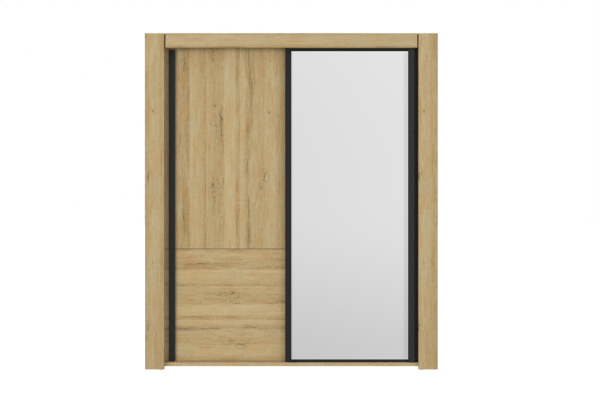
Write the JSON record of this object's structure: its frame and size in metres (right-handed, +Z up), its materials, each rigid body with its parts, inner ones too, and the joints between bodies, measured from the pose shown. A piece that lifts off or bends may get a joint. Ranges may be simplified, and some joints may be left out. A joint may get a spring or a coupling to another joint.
{
  "type": "sliding door wardrobe",
  "caption": "Sliding door wardrobe in blond oak decor with wide front posts, a two-part wooden door, a mirror door, black handle bars, shelves and a hanging rail.",
  "frame": {"origin": "on the floor, at the middle of the width and of the depth", "axes": "+Z up, +X to the right for a person facing the doors, the doors face -Y"},
  "size_m": [1.8, 0.6, 2.069],
  "materials": {
    "oak": "matte",
    "black_board": "satin",
    "black_bar": "satin",
    "mirror": "polished",
    "tape": "matte",
    "back_fibre": "matte",
    "aluminium": "satin",
    "steel": "satin",
    "chrome": "polished",
    "black_plastic": "matte",
    "white_plastic": "satin",
    "beech": "matte"
  },
  "bodies": {
    "carcass": {"left_post": "oak", "right_post": "oak", "left_side_panel": "oak", "right_side_panel": "oak", "top_panel": "oak", "bottom_panel": "oak", "centre_partition": "oak", "pelmet": "oak", "pelmet_joint_strips": "black_plastic", "front_track": "aluminium", "rear_track": "aluminium", "track_screws": "steel", "track_stops": "black_plastic", "floor_guide": "black_plastic", "floor_guide_screws": "steel", "left_hat_shelf": "oak", "right_hat_shelf": "oak", "low_shelf": "oak", "middle_shelf": "oak", "high_shelf": "oak", "shelf_pins": "steel", "hanging_rail": "chrome", "rail_sockets": "chrome", "rail_socket_screws": "steel", "back_sheet_far_left": "back_fibre", "back_sheet_mid_left": "back_fibre", "back_sheet_mid_right": "back_fibre", "back_sheet_far_right": "back_fibre", "back_joiners": "white_plastic", "back_nails": "steel", "cam_locks": "steel", "cam_bolts": "steel", "dowels": "beech", "glides": "black_plastic", "bottom_feet": "black_plastic", "wall_brackets": "steel", "wall_bracket_screws": "steel"},
    "left_door": {"left_door_upper_panel": "oak", "left_door_lower_panel": "oak", "left_door_joint_strip": "black_plastic", "left_door_stiffener": "oak", "left_door_stiffener_screws": "steel", "left_door_handle": "black_bar", "left_door_handle_screws": "steel", "left_door_hangers": "steel", "left_door_hanger_screws": "steel", "left_door_axles": "steel"},
    "right_door": {"right_door_panel": "black_board", "mirror_glass": "mirror", "mirror_tape": "tape", "right_door_handle": "black_bar", "right_door_handle_screws": "steel", "right_door_hangers": "steel", "right_door_hanger_screws": "steel", "right_door_axles": "steel"},
    "left_door_wheel_1_body": {"left_door_wheel_1": "white_plastic"},
    "left_door_wheel_2_body": {"left_door_wheel_2": "white_plastic"},
    "right_door_wheel_1_body": {"right_door_wheel_1": "white_plastic"},
    "right_door_wheel_2_body": {"right_door_wheel_2": "white_plastic"}
  },
  "joints": [
    {"name": "left_door_slide", "type": "slide", "parent": "carcass", "child": "left_door", "axis": [1, 0, 0], "range_m": [0, 0.835]},
    {"name": "right_door_slide", "type": "slide", "parent": "carcass", "child": "right_door", "axis": [-1, 0, 0], "range_m": [0, 0.835]},
    {"name": "left_door_wheel_1_spin", "type": "hinge", "parent": "left_door", "child": "left_door_wheel_1_body", "pos_m": [-0.774, -0.189, 2.0308], "axis": [0, 1, 0], "continuous": true},
    {"name": "left_door_wheel_2_spin", "type": "hinge", "parent": "left_door", "child": "left_door_wheel_2_body", "pos_m": [-0.061, -0.189, 2.0308], "axis": [0, 1, 0], "continuous": true},
    {"name": "right_door_wheel_1_spin", "type": "hinge", "parent": "right_door", "child": "right_door_wheel_1_body", "pos_m": [0.061, -0.231, 2.0308], "axis": [0, 1, 0], "continuous": true},
    {"name": "right_door_wheel_2_spin", "type": "hinge", "parent": "right_door", "child": "right_door_wheel_2_body", "pos_m": [0.774, -0.231, 2.0308], "axis": [0, 1, 0], "continuous": true}
  ],
  "couplings": [
    {"joint": "left_door_wheel_1_spin", "follows": "left_door_slide", "rad_per_m": 105.26},
    {"joint": "left_door_wheel_2_spin", "follows": "left_door_slide", "rad_per_m": 105.26},
    {"joint": "right_door_wheel_1_spin", "follows": "right_door_slide", "rad_per_m": -105.26},
    {"joint": "right_door_wheel_2_spin", "follows": "right_door_slide", "rad_per_m": -105.26}
  ]
}
